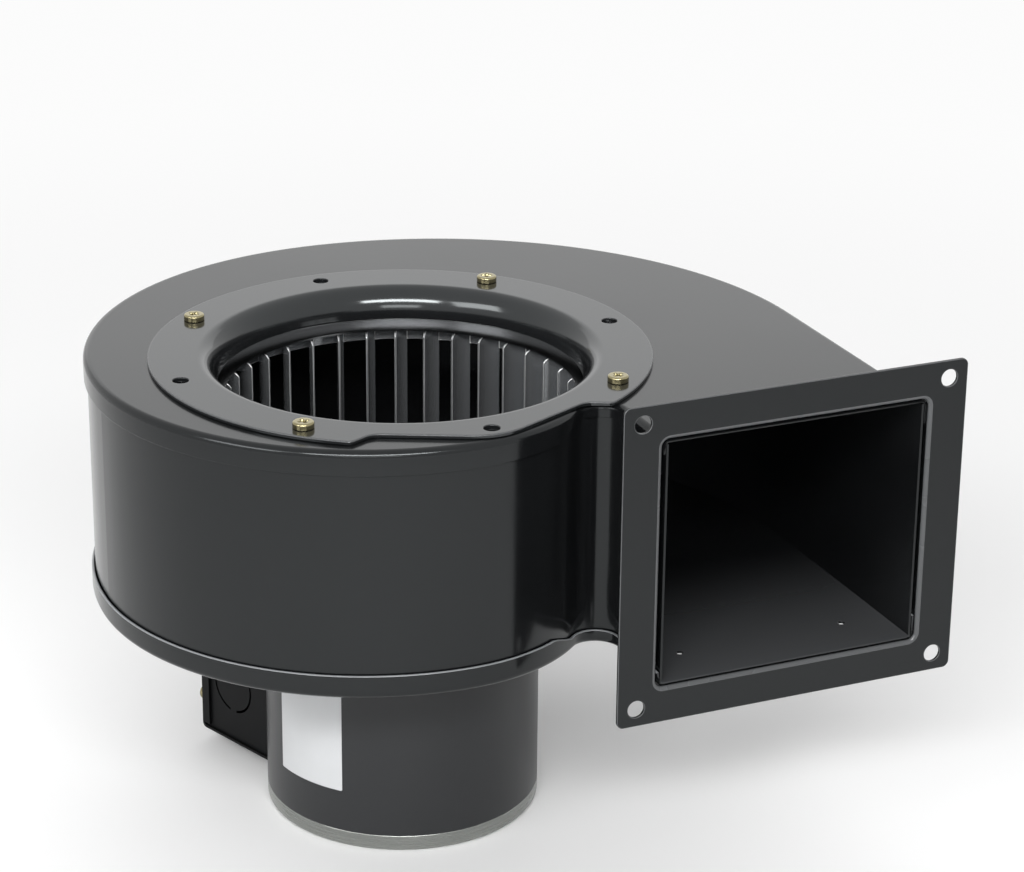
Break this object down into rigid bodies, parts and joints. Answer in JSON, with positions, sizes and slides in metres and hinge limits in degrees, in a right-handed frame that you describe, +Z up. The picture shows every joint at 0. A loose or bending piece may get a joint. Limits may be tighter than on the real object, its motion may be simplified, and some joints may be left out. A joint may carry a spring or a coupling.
{
  "type": "centrifugal blower with motor",
  "caption": "Forward-curved centrifugal blower in a folded scroll housing with a flanged rectangular outlet and a round bell-mouth inlet, standing on its direct-drive motor.",
  "frame": {"origin": "centre of the motor's flat lower face, on the shaft axis", "axes": "+Z up the shaft axis to the inlet, +X straight out of the outlet, +Y from the shaft towards the scroll's long straight wall"},
  "size_m": [0.3037, 0.3457, 0.235],
  "materials": {
    "charcoal": "semi-gloss charcoal paint",
    "zinc_yellow": "yellow zinc plated steel",
    "zinc": "zinc plated steel",
    "galvanised": "galvanised sheet steel",
    "bare_cap": "bare machined aluminium",
    "shaft_steel": "ground steel",
    "lamination": "stacked electrical steel",
    "cast_aluminium": "cast aluminium",
    "winding": "enamelled copper wire, varnished",
    "bronze": "sintered bronze",
    "rubber": "black rubber",
    "nylon": "natural nylon"
  },
  "bodies": {
    "housing": {"scroll_wrap": "charcoal", "inlet_side_plate": "charcoal", "motor_side_plate": "charcoal", "outlet_flange": "charcoal", "inlet_ring": "charcoal", "inlet_ring_screws": "zinc_yellow", "stator_core": "lamination", "stator_winding": "winding", "motor_shell": "charcoal", "lower_end_cap": "bare_cap", "upper_end_bell": "cast_aluminium", "lower_bearing": "bronze", "upper_bearing": "bronze", "motor_through_bolts": "zinc", "junction_box": "charcoal", "knockout_slugs": "charcoal", "junction_box_cover": "charcoal", "junction_box_screws": "zinc_yellow", "saddle_screws": "zinc", "lead_grommet": "rubber"},
    "rotor": {"wheel_blade_strip": "galvanised", "wheel_end_ring": "galvanised", "wheel_back_plate": "galvanised", "wheel_hub": "zinc", "hub_set_screw": "zinc", "motor_shaft": "shaft_steel", "rotor_core": "lamination", "rotor_cage": "cast_aluminium", "thrust_collars": "nylon"}
  },
  "joints": [
    {"name": "wheel_spin", "type": "hinge", "parent": "housing", "child": "rotor", "pos_m": [0, 0, 0], "axis": [0, 0, 1], "continuous": true}
  ]
}
